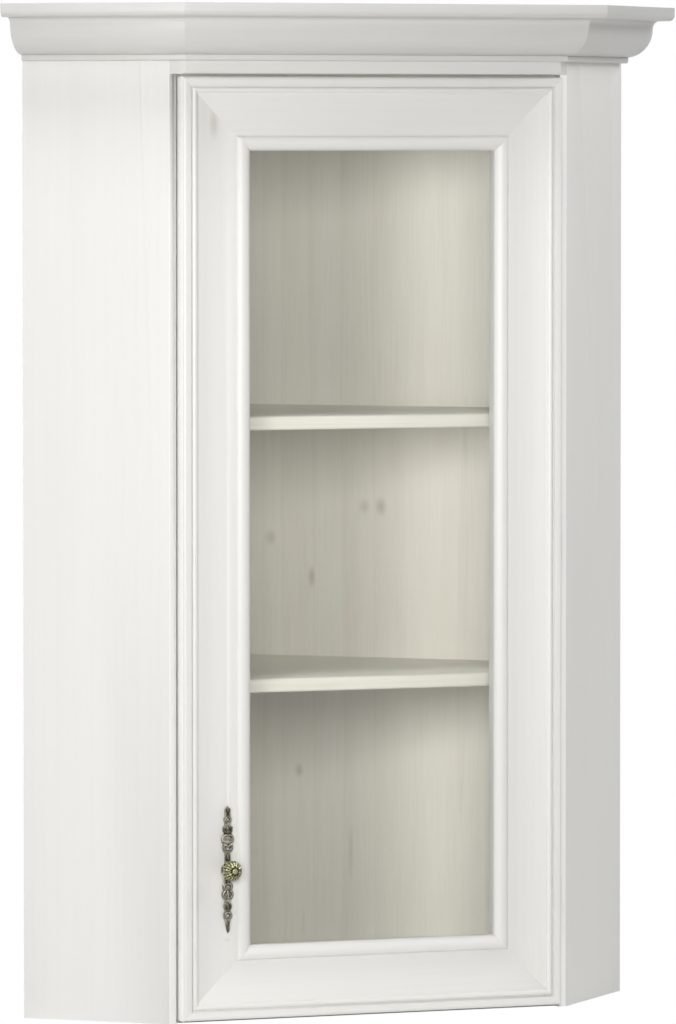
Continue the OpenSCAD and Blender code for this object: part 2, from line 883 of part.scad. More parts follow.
module hinge_pins() {
    color(steel) placed() for (z = hinge_zs)
        at_hinge(z) {
            translate([0, 0, -hinge_l / 2]) cylinder(h = hinge_l, r = hinge_pin_r);
            translate([0, 0, -hinge_l / 2 - pin_cap_t]) cylinder(h = pin_cap_t, r = pin_cap_r);
            translate([0, 0, hinge_l / 2]) cylinder(h = pin_cap_t, r = pin_cap_r);
        }
}

module hinge_post_screws() {
    color(steel) placed() for (z = hinge_zs) post_screw_set(z);
}

module hinge_door_screws() {
    color(steel) placed() for (z = hinge_zs) door_screw_set(z);
}

// The catch stands on the bottom panel, with its front at the plane that the door stops against
module at_catch() {
    translate([-catch_x, seat_y, board_t]) children();
}

module catch_screw_set(gap = 0) {
    ear = 7;
    for (x = [ear - catch_l / 2, catch_l / 2 - ear])
        at_catch() translate([x, catch_d / 2, catch_h * 0.4]) screw(hinge_screw_l, gap = gap);
}

module catch_case() {
    ear_l = 14;
    color("white") placed() difference() {
        at_catch() translate([-catch_l / 2, 0, 0]) union() {
            cube([catch_l, catch_d, catch_h * 0.4]);
            translate([ear_l, 0, 0]) cube([catch_l - 2 * ear_l, catch_d, catch_h]);
        }
        catch_screw_set(hole_gap);
        catch_pole_pair(hole_gap);
    }
}

module catch_pole_pair(gap = 0) {
    front = door_gap - strike_t - strike_gap;
    pole_w = 9;
    for (z = [catch_h * 0.25, catch_h * 0.65])
        at_catch() translate([-pole_w / 2 - gap, -front - gap, z - gap])
            cube([pole_w + 2 * gap, catch_d * 0.8 + front + 2 * gap, 1.6 + 2 * gap]);
}

module catch_poles() {
    color(steel) placed() catch_pole_pair();
}

module catch_screws() {
    color(steel) placed() catch_screw_set();
}

module strike_hole(gap = 0) {
    translate([door_w / 2 - catch_x, board_t - door_lift + catch_h / 2, -strike_t]) rotate([180, 0, 0])
        screw(hinge_screw_l * 0.7, gap = gap);
}

module strike_plate() {
    plate_w = 30;
    color(steel) door_plane() difference() {
        translate([door_w / 2 - catch_x - plate_w / 2, board_t - door_lift, -strike_t])
            cube([plate_w, catch_h, strike_t]);
        strike_hole(hole_gap);
    }
}

module strike_screw() {
    color(steel) door_plane() strike_hole();
}

side_panel_left();
side_panel_right();
bottom_panel();
top_panel();
header_rail();
stop_strip();
back_panel_left();
back_panel_right();
hanging_rail_left();
hanging_rail_right();
shelf_lower();
shelf_upper();
shelf_pins();
carcass_dowels();
back_screws();
cornice_left();
cornice_front();
cornice_right();
cornice_screws();
door_stile_left();
door_stile_right();
door_rail_top();
door_rail_bottom();
mitre_tongues();
glass_pane();
glazing_bead_left();
glazing_bead_right();
glazing_bead_top();
glazing_bead_bottom();
rest_buttons();
handle_plate();
knob();
knob_screw();
hinge_post_leaf_bottom();
hinge_post_leaf_middle();
hinge_post_leaf_top();
hinge_door_leaf_bottom();
hinge_door_leaf_middle();
hinge_door_leaf_top();
hinge_pins();
hinge_post_screws();
hinge_door_screws();
catch_case();
catch_poles();
strike_plate();
catch_screws();
strike_screw();
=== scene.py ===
# Corner wall cupboard in white-glazed pine: dresses the CAD frame and lights it as in the photograph.
import json
import math

import bmesh
import bpy
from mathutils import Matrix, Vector


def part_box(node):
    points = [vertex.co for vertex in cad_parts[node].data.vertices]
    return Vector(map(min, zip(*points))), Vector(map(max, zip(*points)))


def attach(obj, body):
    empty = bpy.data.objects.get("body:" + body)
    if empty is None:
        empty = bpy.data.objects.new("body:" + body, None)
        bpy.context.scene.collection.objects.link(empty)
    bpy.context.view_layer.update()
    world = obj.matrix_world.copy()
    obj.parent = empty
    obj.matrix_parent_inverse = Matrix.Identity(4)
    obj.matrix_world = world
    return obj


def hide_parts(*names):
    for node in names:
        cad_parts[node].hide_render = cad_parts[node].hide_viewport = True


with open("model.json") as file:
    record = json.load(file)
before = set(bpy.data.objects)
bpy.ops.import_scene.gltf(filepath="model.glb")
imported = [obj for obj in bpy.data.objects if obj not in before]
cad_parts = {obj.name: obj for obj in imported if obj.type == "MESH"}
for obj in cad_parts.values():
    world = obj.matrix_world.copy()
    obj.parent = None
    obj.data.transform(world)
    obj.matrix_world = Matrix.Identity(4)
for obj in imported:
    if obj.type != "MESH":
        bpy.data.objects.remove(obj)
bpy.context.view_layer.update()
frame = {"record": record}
mm = 0.001


def linearColour(hexValue, alpha=1.0):
    channels = [int(hexValue[i:i + 2], 16) / 255 for i in (1, 3, 5)]
    return tuple(c / 12.92 if c <= 0.04045 else ((c + 0.055) / 1.055) ** 2.4 for c in channels) + (alpha,)


def shaded(colour, share):
    return tuple(channel * share for channel in colour[:3]) + (1.0,)


# Adds one shader node with its settings and its links or values
def addNode(tree, kind, settings=None, **inputs):
    node = tree.nodes.new(kind)
    for name, value in (settings or {}).items():
        setattr(node, name, value)
    for name, value in inputs.items():
        socket = node.inputs[int(name[1:])] if name[1:].isdigit() else node.inputs[name.replace("_", " ")]
        if isinstance(value, bpy.types.NodeSocket):
            tree.links.new(value, socket)
        else:
            socket.default_value = value
    return node


# The result of one math node, on numbers or on vectors
def numberMath(tree, operation, *values, kind="ShaderNodeMath"):
    inputs = {f"s{place}": value for place, value in enumerate(values)}
    return addNode(tree, kind, {"operation": operation}, **inputs).outputs[0]


def vectorMath(tree, operation, *values):
    return numberMath(tree, operation, *values, kind="ShaderNodeVectorMath")


def newMaterial(name):
    material = bpy.data.materials.new(name)
    material.use_nodes = True
    tree = material.node_tree
    tree.nodes.clear()
    shader = tree.nodes.new("ShaderNodeBsdfPrincipled")
    output = tree.nodes.new("ShaderNodeOutputMaterial")
    tree.links.new(shader.outputs[0], output.inputs["Surface"])
    return material, tree, shader


# Puts another shader in the place of the one that newMaterial linked
def relinkSurface(tree, surface):
    output = next(node for node in tree.nodes if node.type == "OUTPUT_MATERIAL")
    tree.links.new(surface, output.inputs["Surface"])


def colourRamp(tree, factor, places, colours):
    ramp = addNode(tree, "ShaderNodeValToRGB", s0=factor)
    elements = ramp.color_ramp.elements
    while len(elements) < len(places):
        elements.new(0.5)
    for element, place, colour in zip(elements, places, colours):
        element.position = place
        element.color = colour
    return ramp.outputs["Color"]


def mixColours(tree, share, first, second):
    return addNode(tree, "ShaderNodeMix", {"data_type": "RGBA"}, s0=share, s6=first, s7=second).outputs[2]


print("materials: white-glazed pine")
# Brushed pine under a thin white glaze and satin lacquer: the glaze lies deep in the soft spring wood,
# so the hard late wood shows as faint warm lines, with small grey knots.
pine = {
    "glaze": "#DFDEDB",
    "lateWood": "#DAD9D5",
    # the inside's glaze is warmer, and paler than the outside's to make up for light that reaches in too
    # little: partly its own colour, partly painted light
    "innerGlaze": "#F6F3EA",
    "innerLateWood": "#E4E0D1",
    # the whiter glaze on edge faces that lie in the door's shadow: painted light
    "edge": "#FAFAF8",
    "knot": "#A79F8B",
    "edgeDepth": 0.3 * mm,
    "swayScale": (22, 22, 0.5),        # the rings' wander, per metre
    "swayReach": (0.025, 0.025, 0),
    "ringSpacing": 13 * mm,
    "ringSharpness": 4.0,
    "fibre": 1.6 * mm,                 # real fibres are far finer: drawn this coarse so that they show
    "fibreRun": 90 * mm,
    "cloudScale": (20, 20, 1.5),
    "weights": {"rings": 0.15, "fibre": 0.55, "cloud": 0.5},
    "ramp": (0.35, 0.95),
    "knotRim": 1.3,                    # in knot radii: where a knot begins and where it is darkest
    "knotHeart": 0.1,
    "knotRaggedness": 0.5,
    "roughness": 0.42,
    "ior": 1.5,
    "coat": 0.12,
    "coatRoughness": 0.3,
    "relief": 0.06,
    "reliefDepth": 0.4 * mm,
}


# turn lays the grain along the board's length; the shade factor darkens a board's whole glaze where it
# lies in more shade than the lamps give: painted shade;
# knots are (place in metres, half width, half height, strength); the white edge is an axis and the place
# on it
# below which the glaze is whiter: painted light, on an edge face that lies in the door's shadow
def glazedPine(name, turn=(0, 0, 0), shift=(0, 0, 0), inner=False, paintedShade=1.0, knots=(),
               paintedLightEdge=None):
    material, tree, shader = newMaterial(name)
    place = addNode(tree, "ShaderNodeTexCoord").outputs["Object"]
    board = addNode(tree, "ShaderNodeMapping", {"vector_type": "POINT"},
                    s0=place, Location=shift, Rotation=turn).outputs[0]

    def boardNoise(scale, **settings):
        scaled = addNode(tree, "ShaderNodeMapping", s0=board, Scale=scale).outputs[0]
        return addNode(tree, "ShaderNodeTexNoise", s0=scaled, Scale=1.0, **settings).outputs

    # growth rings: broad wavy bands that run along the board
    sway = boardNoise(pine["swayScale"], Detail=1.0)
    bent = vectorMath(tree, "MULTIPLY_ADD", sway["Color"], pine["swayReach"], board)
    # the wave node turns 20 / (2 pi) times in one unit
    rings = addNode(tree, "ShaderNodeTexWave", {"wave_type": "RINGS", "rings_direction": "Z",
                    "wave_profile": "SAW"}, Vector=bent,
                    Scale=2 * math.pi / 20 / pine["ringSpacing"], Distortion=0.0)
    across, along = 1 / pine["fibre"], 1 / pine["fibreRun"]
    fibre = boardNoise((across, across, along), Detail=3.0, Roughness=0.6)
    cloud = boardNoise(pine["cloudScale"], Detail=2.0)
    weights = pine["weights"]
    ringShare = numberMath(tree, "POWER", rings.outputs["Fac"], pine["ringSharpness"])
    fibreShare = numberMath(tree, "MULTIPLY", fibre["Fac"], weights["fibre"])
    lines = numberMath(tree, "MULTIPLY_ADD", ringShare, weights["rings"], fibreShare)
    tone = numberMath(tree, "MULTIPLY_ADD", cloud["Fac"], weights["cloud"], lines)
    light = shaded(linearColour(pine["innerGlaze"] if inner else pine["glaze"]), paintedShade)
    dark = shaded(linearColour(pine["innerLateWood"] if inner else pine["lateWood"]), paintedShade)
    colour = colourRamp(tree, tone, pine["ramp"], (light, dark))
    for at, halfWidth, halfHeight, strength in knots:
        ragged = pine["knotRaggedness"]
        away = vectorMath(tree, "SUBTRACT", place, at)
        scaled = vectorMath(tree, "MULTIPLY", away, (1 / halfWidth, 1 / halfWidth, 1 / halfHeight))
        rough = vectorMath(tree, "MULTIPLY_ADD", fibre["Color"], (ragged,) * 3, scaled)
        centred = vectorMath(tree, "SUBTRACT", rough, (ragged / 2,) * 3)
        far = addNode(tree, "ShaderNodeVectorMath", {"operation": "LENGTH"}, s0=centred)
        spot = addNode(tree, "ShaderNodeMapRange", {"interpolation_type": "SMOOTHSTEP"},
                       s0=far.outputs["Value"], s1=pine["knotRim"], s2=pine["knotHeart"],
                       s3=0.0, s4=strength)
        colour = mixColours(tree, spot.outputs[0], colour, linearColour(pine["knot"]))
    # painted light: a whiter glaze lifts an edge face out of the door's shadow
    if paintedLightEdge:
        axis, limit = paintedLightEdge
        onAxis = addNode(tree, "ShaderNodeSeparateXYZ", s0=place).outputs[axis]
        inPaintedLight = numberMath(tree, "LESS_THAN", onAxis, limit)
        colour = mixColours(tree, inPaintedLight, colour, linearColour(pine["edge"]))
    tree.links.new(colour, shader.inputs["Base Color"])
    shader.inputs["Roughness"].default_value = pine["roughness"]
    shader.inputs["IOR"].default_value = pine["ior"]
    shader.inputs["Coat Weight"].default_value = pine["coat"]
    shader.inputs["Coat Roughness"].default_value = pine["coatRoughness"]
    bump = addNode(tree, "ShaderNodeBump", Height=lines, Strength=pine["relief"],
                   Distance=pine["reliefDepth"])
    tree.links.new(bump.outputs[0], shader.inputs["Normal"])
    return material


# grain directions, as turns of the pattern: upright, along the front, and along each side run
upright = (0, 0, 0)
acrossFront = (0, math.pi / 2, 0)
alongLeft = (0, math.pi / 2, math.pi / 4)
alongRight = (0, math.pi / 2, -math.pi / 4)

# knots and shakes on the right back board's inner face, where they lie on the real one
backKnots = [
    ((0.1438, 0.1398, 0.588), 8 * mm, 10 * mm, 0.35),
    ((0.1595, 0.1246, 0.588), 8 * mm, 12 * mm, 0.55),
    ((0.0946, 0.1900, 0.4995), 5 * mm, 14 * mm, 0.55),
    ((0.0551, 0.2285, 0.5475), 8 * mm, 10 * mm, 0.4),
    ((0.0823, 0.2018, 0.259), 6 * mm, 9 * mm, 0.45),
    ((0.1238, 0.1598, 1.004), 2.5 * mm, 28 * mm, 0.45),
    ((0.1313, 0.1528, 0.161), 4 * mm, 40 * mm, 0.3),
    ((0.0861, 0.1978, 0.07), 2.5 * mm, 26 * mm, 0.4),
]
stileKnots = [
    ((-0.2023, -0.2245, 1.0586), 6.5 * mm, 20 * mm, 0.4),
    ((-0.1870, -0.2245, 0.098), 5 * mm, 3 * mm, 0.25),
]

# shift moves each board to a part of the pattern of its own
# the shade factors on the cornice, header, top rail and shelves are painted shade, not a different glaze
pieceFinish = {
    "side_panel_left": dict(turn=upright, shift=(0.31, 0.11, 0.2)),
    "side_panel_right": dict(turn=upright, shift=(0.77, 0.52, 1.3),
                             paintedLightEdge=("Y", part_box("side_panel_right")[0][1] + pine["edgeDepth"])),
    "bottom_panel": dict(turn=acrossFront, shift=(0.1, 0.6, 0.4)),
    "top_panel": dict(turn=acrossFront, shift=(0.5, 0.2, 0.9)),
    "header_rail": dict(turn=acrossFront, shift=(0.9, 0.1, 0.3), paintedShade=0.9),
    "stop_strip": dict(turn=acrossFront, shift=(0.3, 0.5, 0.1), inner=True),
    "shelf_lower": dict(turn=acrossFront, shift=(0.2, 0.8, 0.7), inner=True, paintedShade=0.86),
    "shelf_upper": dict(turn=acrossFront, shift=(0.6, 0.3, 0.1), inner=True, paintedShade=0.86),
    "back_panel_left": dict(turn=upright, shift=(0.4, 0.9, 0.6), inner=True),
    "back_panel_right": dict(turn=upright, shift=(0.15, 0.35, 0.8), inner=True, knots=backKnots),
    "hanging_rail_left": dict(turn=alongRight, shift=(0.2, 0.1, 0.6), inner=True),
    "hanging_rail_right": dict(turn=alongLeft, shift=(0.3, 0.7, 0.2), inner=True),
    "cornice_front": dict(turn=acrossFront, shift=(0.7, 0.4, 0.5), paintedShade=0.8),
    "cornice_left": dict(turn=alongLeft, shift=(0.1, 0.2, 0.9), paintedShade=0.82),
    "cornice_right": dict(turn=alongRight, shift=(0.8, 0.6, 0.3), paintedShade=0.72),
    "door_stile_left": dict(turn=upright, shift=(0.22, 0.44, 0.1), knots=stileKnots,
                            paintedLightEdge=("X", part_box("door_stile_left")[0][0] + pine["edgeDepth"])),
    "door_stile_right": dict(turn=upright, shift=(0.66, 0.13, 0.7)),
    "door_rail_top": dict(turn=acrossFront, shift=(0.35, 0.75, 0.15), paintedShade=0.96),
    "door_rail_bottom": dict(turn=acrossFront, shift=(0.55, 0.25, 0.85)),
    "glazing_bead_left": dict(turn=upright, shift=(0.12, 0.1, 0.5)),
    "glazing_bead_right": dict(turn=upright, shift=(0.14, 0.9, 0.2)),
    "glazing_bead_top": dict(turn=acrossFront, shift=(0.41, 0.3, 0.6)),
    "glazing_bead_bottom": dict(turn=acrossFront, shift=(0.47, 0.2, 0.4)),
}

print("materials: glass, brass and fittings")
# Clear float glass, 3 mm: nearly colourless, with a soft reflection of the room
glass = {"colour": "#FDFDFC", "through": "#FEFEFD", "roughness": 0.02, "ior": 1.5}


def floatGlass():
    material, tree, shader = newMaterial("clearFloatGlass")
    shader.inputs["Base Color"].default_value = linearColour(glass["colour"])
    shader.inputs["Roughness"].default_value = glass["roughness"]
    shader.inputs["IOR"].default_value = glass["ior"]
    shader.inputs["Transmission Weight"].default_value = 1.0
    # shadow and diffuse rays pass straight through, as the light does through a thin pane
    clear = addNode(tree, "ShaderNodeBsdfTransparent", Color=linearColour(glass["through"]))
    path = addNode(tree, "ShaderNodeLightPath")
    soft = numberMath(tree, "MAXIMUM", path.outputs["Is Shadow Ray"], path.outputs["Is Diffuse Ray"])
    mixed = addNode(tree, "ShaderNodeMixShader", s0=soft, s1=shader.outputs[0], s2=clear.outputs[0])
    relinkSurface(tree, mixed.outputs[0])
    return material


# Cast brass, darkened in a bath and rubbed back: nearly black in the hollows and pale gold on the ridges.
# The plate has gone greyer than the knob, which hands have kept bright.
brass = {
    "plate": ("#0F0E0A", "#434035", "#ADA899"),     # hollow, body, ridge
    "knob": ("#0E0D05", "#67653F", "#DAD7B2"),
    "ramp": (0.15, 0.5, 0.72),
    "hollowReach": 2.5 * mm,
    "mottle": 1.5 * mm,
    "weights": {"edge": 1.4, "mottle": 0.3},
    "wearFrom": 1.45,
    "wearTo": 2.15,
    "metallic": 0.85,
    "roughness": 0.34,
    "relief": 0.25,
    "reliefDepth": 0.2 * mm,
}


def darkenedBrass(name, tones):
    material, tree, shader = newMaterial(name)
    place = addNode(tree, "ShaderNodeTexCoord").outputs["Object"]
    mottle = addNode(tree, "ShaderNodeTexNoise", s0=place, Scale=1 / brass["mottle"],
                     Detail=3.0).outputs["Fac"]
    openness = addNode(tree, "ShaderNodeAmbientOcclusion", {"samples": 8, "only_local": True},
                       Distance=brass["hollowReach"]).outputs["AO"]
    edge = addNode(tree, "ShaderNodeNewGeometry").outputs["Pointiness"]
    uneven = numberMath(tree, "MULTIPLY_ADD", mottle, brass["weights"]["mottle"], openness)
    worn = numberMath(tree, "MULTIPLY_ADD", edge, brass["weights"]["edge"], uneven)
    share = addNode(tree, "ShaderNodeMapRange", s0=worn, s1=brass["wearFrom"], s2=brass["wearTo"],
                    s3=0.0, s4=1.0)
    colour = colourRamp(tree, share.outputs[0], brass["ramp"], [linearColour(tone) for tone in tones])
    tree.links.new(colour, shader.inputs["Base Color"])
    shader.inputs["Metallic"].default_value = brass["metallic"]
    shader.inputs["Roughness"].default_value = brass["roughness"]
    bump = addNode(tree, "ShaderNodeBump", Height=mottle, Strength=brass["relief"],
                   Distance=brass["reliefDepth"])
    tree.links.new(bump.outputs[0], shader.inputs["Normal"])
    return material


# Plain fittings, each in two tones of one noise: rolled steel with bright zinc plate, a cool grey with
# a faint spangle; moulded polypropylene, matt; and bare beech, for the dowels and the mitres' tongues
zinc = {"tones": ("#A9ABA9", "#C6C7C3"), "ramp": (0.35, 0.65), "grain": 3 * mm, "detail": 2.0,
        "metallic": 1.0, "roughness": (0.28, 0.42), "spangle": (0.3, 0.7)}
plastic = {"tones": ("#E9E8E3", "#DFDED8"), "ramp": (0.3, 0.7), "grain": 8 * mm, "detail": 2.0,
           "metallic": 0.0, "roughness": 0.5}
beech = {"tones": ("#C9A77C", "#B58E62"), "ramp": (0.35, 0.7), "grain": 2 * mm, "detail": 3.0,
         "metallic": 0.0, "roughness": 0.6}


# Where a look has a spangle, its roughness runs between two values as the noise does
def twoTone(name, look):
    material, tree, shader = newMaterial(name)
    place = addNode(tree, "ShaderNodeTexCoord").outputs["Object"]
    noise = addNode(tree, "ShaderNodeTexNoise", s0=place, Scale=1 / look["grain"],
                    Detail=look["detail"]).outputs["Fac"]
    colour = colourRamp(tree, noise, look["ramp"], [linearColour(tone) for tone in look["tones"]])
    tree.links.new(colour, shader.inputs["Base Color"])
    shader.inputs["Metallic"].default_value = look["metallic"]
    if "spangle" in look:
        (low, high), (smooth, rough) = look["spangle"], look["roughness"]
        spread = addNode(tree, "ShaderNodeMapRange", s0=noise, s1=low, s2=high, s3=smooth, s4=rough)
        tree.links.new(spread.outputs[0], shader.inputs["Roughness"])
    else:
        shader.inputs["Roughness"].default_value = look["roughness"]
    return material


slotMaterials = {
    "clear_glass": floatGlass(),
    "antique_brass": darkenedBrass("darkenedCastBrass", brass["plate"]),
    "zinc_steel": twoTone("zincPlatedSteel", zinc),
    "white_plastic": twoTone("mouldedPolypropylene", plastic),
    "beech": twoTone("bareBeech", beech),
}


def useMaterial(piece, material):
    piece.data.materials.clear()
    piece.data.materials.append(material)


def deselectAll():
    bpy.ops.object.select_all(action="DESELECT")


def selectOnly(piece):
    deselectAll()
    piece.select_set(True)
    bpy.context.view_layer.objects.active = piece


# The CAD meshes are loose triangles, so a copy is merged before it is shaped
merging = {"distance": 0.00001, "flatAngle": math.radians(0.5)}


def copyOfNode(node, name):
    piece = bpy.data.objects.new(name, bpy.data.objects[node].data.copy())
    bpy.context.collection.objects.link(piece)
    selectOnly(piece)
    bpy.ops.object.mode_set(mode="EDIT")
    bpy.ops.mesh.select_all(action="SELECT")
    bpy.ops.mesh.remove_doubles(threshold=merging["distance"])
    bpy.ops.mesh.dissolve_limited(angle_limit=merging["flatAngle"])
    bpy.ops.object.mode_set(mode="OBJECT")
    return piece


# Applies a bevel to the active piece's edges that turn by more than the angle
def easeEdges(piece, name, width, segments, angle):
    ease = piece.modifiers.new(name, "BEVEL")
    ease.width = width
    ease.segments = segments
    ease.limit_method = "ANGLE"
    ease.angle_limit = angle
    bpy.ops.object.modifier_apply(modifier=ease.name)


print("finishes on the CAD nodes")
softWear = {"arris": 0.7 * mm, "segments": 3, "angle": math.radians(25), "smoothAngle": math.radians(35),
            "noseArris": 4.5 * mm, "noseSegments": 5, "noseReach": 0.3 * mm}
bodyOf = {node: body for body, nodes in frame["record"]["behaviour"]["bodies"].items() for node in nodes}
slotOf = {part["node"]: part["material_slot"] for part in frame["record"]["subparts"]}


# Arrises that the maker rounded over: each lies along one line of the board, in a thin box about it
def lineBox(low, high):
    reach = softWear["noseReach"]
    return {"low": [value - reach for value in low], "high": [value + reach for value in high]}


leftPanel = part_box("side_panel_left")
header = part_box("header_rail")
noseArrises = {
    "side_panel_left": lineBox((leftPanel[1][0], leftPanel[0][1], leftPanel[0][2]),
                               (leftPanel[1][0], leftPanel[0][1], leftPanel[1][2])),
    "header_rail": lineBox(header[0], (header[1][0], header[0][1], header[0][2])),
}


# Rounds over the edges that lie wholly inside a box
def roundNose(board, low, high):
    bpy.ops.object.mode_set(mode="EDIT")
    bpy.ops.mesh.select_mode(type="EDGE")
    bpy.ops.mesh.select_all(action="DESELECT")
    mesh = bmesh.from_edit_mesh(board.data)
    picked = 0
    for edge in mesh.edges:
        if all(low[i] <= vertex.co[i] <= high[i] for vertex in edge.verts for i in range(3)):
            edge.select_set(True)
            picked += 1
    bmesh.update_edit_mesh(board.data)
    bpy.ops.mesh.bevel(offset=softWear["noseArris"], segments=softWear["noseSegments"], affect="EDGES")
    bpy.ops.object.mode_set(mode="OBJECT")
    print("rounded edges", board.name, picked)


# The quirk beside the sight moulding: it falls slowly from the moulding and rises steeply to the field.
# Distances run from the sight edge, and reach is how far behind the front a vertex may lie.
quirk = {"start": 15.3 * mm, "bottom": 17.3 * mm, "end": 17.8 * mm, "depth": 0.9 * mm, "reach": 9 * mm}
# The member's sight edge: the axis across the member, the place of the edge on it, and the way outwards
sightEdges = {
    "door_stile_left": (0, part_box("door_stile_left")[1][0], -1),
    "door_stile_right": (0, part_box("door_stile_right")[0][0], 1),
    "door_rail_top": (2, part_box("door_rail_top")[0][2], 1),
    "door_rail_bottom": (2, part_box("door_rail_bottom")[1][2], -1),
}


# Cuts three lines along a member, then sinks the vertices between the outer two
def cutQuirk(board, axis, edge, outwards):
    bpy.ops.object.mode_set(mode="EDIT")
    for distance in (quirk["start"], quirk["bottom"], quirk["end"]):
        bpy.ops.mesh.select_all(action="SELECT")
        place, normal = [0, 0, 0], [0, 0, 0]
        place[axis], normal[axis] = edge + outwards * distance, 1
        bpy.ops.mesh.bisect(plane_co=place, plane_no=normal)
    bpy.ops.object.mode_set(mode="OBJECT")
    front = min(vertex.co.y for vertex in board.data.vertices) + quirk["reach"]
    lines = {}
    for vertex in board.data.vertices:
        away = round(outwards * (vertex.co[axis] - edge), 5)
        if vertex.co.y < front and quirk["start"] < away < quirk["end"]:
            lines.setdefault(away, []).append(vertex.index)
    for away, line in lines.items():
        share = min((away - quirk["start"]) / (quirk["bottom"] - quirk["start"]),
                    (quirk["end"] - away) / (quirk["end"] - quirk["bottom"]))
        bpy.ops.object.mode_set(mode="EDIT")
        bpy.ops.mesh.select_mode(type="VERT")
        bpy.ops.mesh.select_all(action="DESELECT")
        bpy.ops.object.mode_set(mode="OBJECT")
        for index in line:
            board.data.vertices[index].select = True
        bpy.ops.object.mode_set(mode="EDIT")
        bpy.ops.transform.translate(value=(0, quirk["depth"] * share, 0))
        bpy.ops.object.mode_set(mode="OBJECT")
    print("quirk", board.name, len(lines), "lines")


# A copy of a wooden board with every arris eased, as sanding and lacquer leave it
def easeBoard(node):
    board = copyOfNode(node, node + "Eased")
    if node in noseArrises:
        roundNose(board, **noseArrises[node])
    easeEdges(board, "easedArrises", softWear["arris"], softWear["segments"], softWear["angle"])
    if node in sightEdges:
        cutQuirk(board, *sightEdges[node])
    bpy.ops.object.shade_smooth_by_angle(angle=softWear["smoothAngle"])
    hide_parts(node)
    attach(board, bodyOf[node])
    return board


easedNodes = ["side_panel_left", "side_panel_right", "bottom_panel", "header_rail", "shelf_lower",
              "shelf_upper", "cornice_left", "cornice_front", "cornice_right", "door_stile_left",
              "door_stile_right", "door_rail_top", "door_rail_bottom"]
for node, slotName in slotOf.items():
    if node in pieceFinish:
        finish = glazedPine(node + "GlazedPine", **pieceFinish[node])
    else:
        finish = slotMaterials[slotName]
    useMaterial(bpy.data.objects[node], finish)
for node in easedNodes:
    eased = easeBoard(node)
    useMaterial(eased, bpy.data.objects[node].data.materials[0])

print("handle plate")
# Sizes in mm from the knob's axis: u to the right, v up, and w out from the plate's face
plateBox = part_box("handle_plate")
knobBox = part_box("knob")
handleAxis = Vector(((knobBox[0][0] + knobBox[1][0]) / 2, plateBox[0][1],
                     (knobBox[0][2] + knobBox[1][2]) / 2))
casting = {"smoothAngle": math.radians(50)}
handlePlate = {
    "rim": {"width": 0.5 * mm, "segments": 2, "angle": math.radians(45)},
    # scrolls: [u, v, radius, start angle, turn, bar radius, shrink to]
    "pairedScrolls": [
        [0.9, 59.5, 2.9, 80, -250, 0.8, 0.55],
        [2.6, 37.5, 4.3, 120, -300, 1.1, 0.35],
        [1.6, 26.5, 4.2, 100, -220, 0.9, 0.6],
        [1.2, -20.5, 4.6, 110, -200, 1.0, 0.6],
        [1.4, -29.5, 5.2, 75, -260, 1.0, 0.45],
        [1.0, -54, 3.8, 100, -250, 0.9, 0.5],
    ],
    "singleScrolls": [
        [0, 34.5, 6.2, 205, 130, 1.3, 1.0],
        [-2.2, -31.6, 3.6, 75, -110, 0.9, 0.8],
        [2.2, -26.4, 3.6, 255, -110, 0.9, 0.8],
    ],
    "scrollStep": 14,              # degrees in one step of a scroll's bar
    "leastSteps": 6,
    "barSides": 8,
    # leaves: [u, v, width, length, lean]
    "leaves": [
        [0, 71.5, 5.6, 8.5, 0],
        [0, 66, 3.4, 3.4, 0],
        [0, 48, 7.5, 13, 0],
        [-3.2, 47, 3.6, 9.5, 22],
        [3.2, 47, 3.6, 9.5, -22],
        [0, 15.5, 6.4, 11, 0],
        [0, -12, 5.6, 9, 0],
        [0, -42.5, 6.4, 11, 0],
        [-2.7, -42, 3.2, 8, -20],
        [2.7, -42, 3.2, 8, 20],
        [0, -66.5, 4.4, 15.5, 0],
    ],
    "leafHeight": 1.5,
    "leafSegments": 16,
    "leafRings": 12,
    "pointFrom": (0.45, 0.25),     # shares of the length from the tip: above each, the leaf narrows again
    "pointWidth": 0.62,
    "veinHalfWidth": 0.13,         # share of the leaf's width
    "veinOut": 0.2,
    "veinDepth": 0.4,              # share of the leaf's height
    "rosette": {"petals": 10, "reach": 5.6, "width": 4.2, "length": 6.6},
}


def onPlate(u, v, w=0.0):
    return handleAxis + Vector((u, -w, v)) * mm


# Leaves the active piece in edit mode with the faces selected whose middle passes the test
def pickFaces(piece, test):
    bpy.ops.object.mode_set(mode="EDIT")
    bpy.ops.mesh.select_mode(type="FACE")
    bpy.ops.mesh.select_all(action="DESELECT")
    bpy.ops.object.mode_set(mode="OBJECT")
    for face in piece.data.polygons:
        face.select = test(piece.matrix_world @ face.center)
    bpy.ops.object.mode_set(mode="EDIT")


# A round bar that is drawn out round a centre and thins as it curls in
def scroll(u, v, radius, start, turn, bar, shrink):
    steps = max(handlePlate["leastSteps"], round(abs(turn) / handlePlate["scrollStep"]))
    angle = math.radians(start)
    centre = onPlate(u, v)
    first = onPlate(u + radius * math.cos(angle), v + radius * math.sin(angle))
    deselectAll()
    bpy.ops.mesh.primitive_circle_add(vertices=handlePlate["barSides"], radius=bar * mm,
                                      fill_type="NGON", location=first, rotation=(0, -angle, 0))
    bpy.ops.object.mode_set(mode="EDIT")
    share = shrink ** (1 / steps)
    for _ in range(steps):
        bpy.ops.mesh.extrude_region_move()
        bpy.ops.transform.rotate(value=math.radians(turn / steps), orient_axis="Y", center_override=centre)
        bpy.ops.transform.resize(value=(share, share, share), center_override=centre)
    bpy.ops.object.mode_set(mode="OBJECT")
    return bpy.context.object


